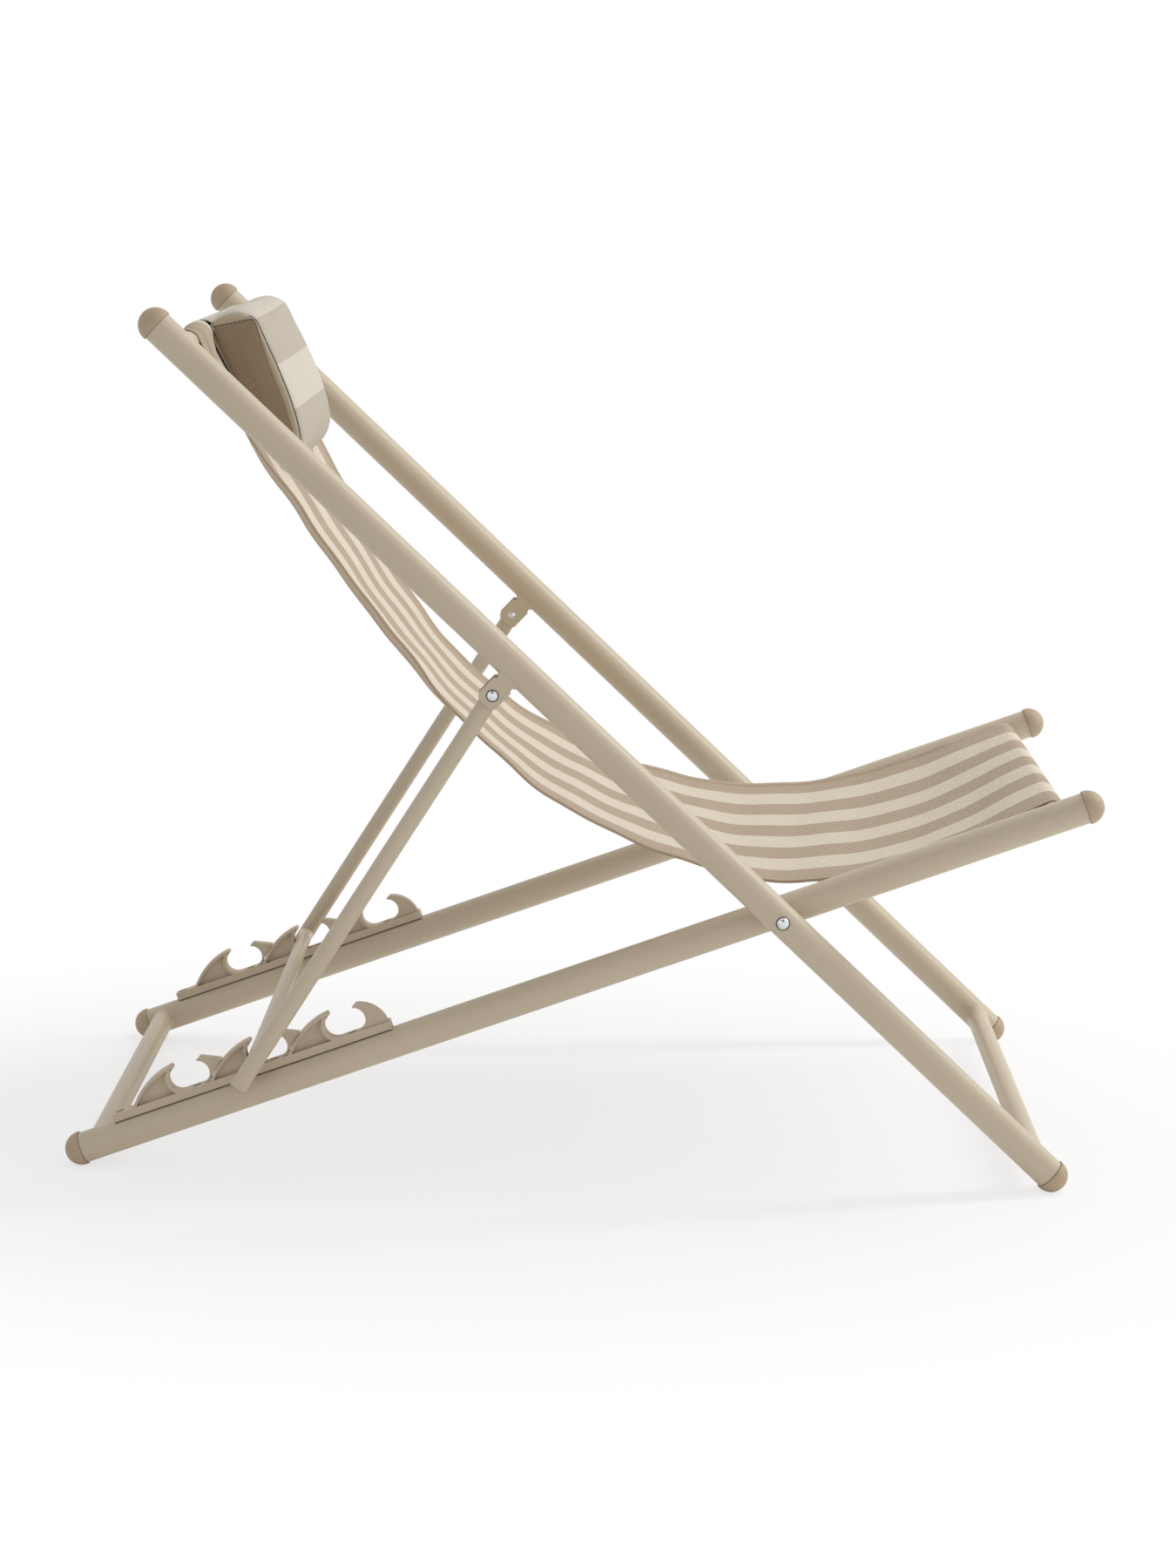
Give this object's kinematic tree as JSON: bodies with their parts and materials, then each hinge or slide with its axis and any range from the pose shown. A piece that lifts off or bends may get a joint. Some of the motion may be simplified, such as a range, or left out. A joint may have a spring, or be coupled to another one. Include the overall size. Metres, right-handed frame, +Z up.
{
  "type": "reclining sun lounger",
  "caption": "Folding sling lounger with crossed tube frames, a prop frame in notched recline racks, a striped fabric seat and a head pillow.",
  "frame": {"origin": "middle of the bounding box's footprint, on the floor", "axes": "+X towards the front edge of the seat, +Y towards the sitter's left, +Z up"},
  "size_m": [1.0594, 0.6058, 0.8828],
  "materials": {
    "powder_coat": "satin, fine texture",
    "moulded_plastic": "matte",
    "zinc": "bright",
    "sling_fabric": "ribbed weave, lengthwise stripes",
    "pillow_fabric": "ribbed weave, crosswise stripes"
  },
  "bodies": {
    "base_frame": {"seat_tube_left": "powder_coat", "seat_tube_right": "powder_coat", "front_bar": "powder_coat", "rear_bar": "powder_coat", "cap_front_left": "moulded_plastic", "cap_front_right": "moulded_plastic", "foot_rear_left": "moulded_plastic", "foot_rear_right": "moulded_plastic", "rack_left": "moulded_plastic", "rack_right": "moulded_plastic", "rack_screws_left": "zinc", "rack_screws_right": "zinc", "sling": "sling_fabric"},
    "back_frame": {"back_tube_left": "powder_coat", "back_tube_right": "powder_coat", "head_bar": "powder_coat", "foot_bar": "powder_coat", "cap_head_left": "moulded_plastic", "cap_head_right": "moulded_plastic", "foot_front_left": "moulded_plastic", "foot_front_right": "moulded_plastic", "bracket_left": "powder_coat", "bracket_right": "powder_coat", "prop_rivet_left": "zinc", "prop_rivet_right": "zinc", "pivot_bolt_left": "zinc", "pivot_bolt_right": "zinc", "pivot_spacer_left": "moulded_plastic", "pivot_spacer_right": "moulded_plastic", "pivot_washer_left": "zinc", "pivot_washer_right": "zinc", "pivot_nut_left": "zinc", "pivot_nut_right": "zinc", "pillow": "pillow_fabric", "pillow_strap": "pillow_fabric"},
    "prop_frame": {"prop_tube_left": "powder_coat", "prop_tube_right": "powder_coat", "prop_bar": "powder_coat", "prop_plug_left": "moulded_plastic", "prop_plug_right": "moulded_plastic"}
  },
  "joints": [
    {"name": "back_hinge", "type": "hinge", "parent": "base_frame", "child": "back_frame", "pos_m": [0.20488, 0, 0.27967], "axis": [0, 1, 0], "range_deg": [0, 112], "deforming": ["sling"]},
    {"name": "prop_hinge", "type": "hinge", "parent": "back_frame", "child": "prop_frame", "pos_m": [-0.08863, 0, 0.5061], "axis": [0, 1, 0], "range_deg": [-78.4, 0]}
  ],
  "couplings": [
    {"joint": "prop_hinge", "follows": "back_hinge", "ratio": -0.7}
  ]
}
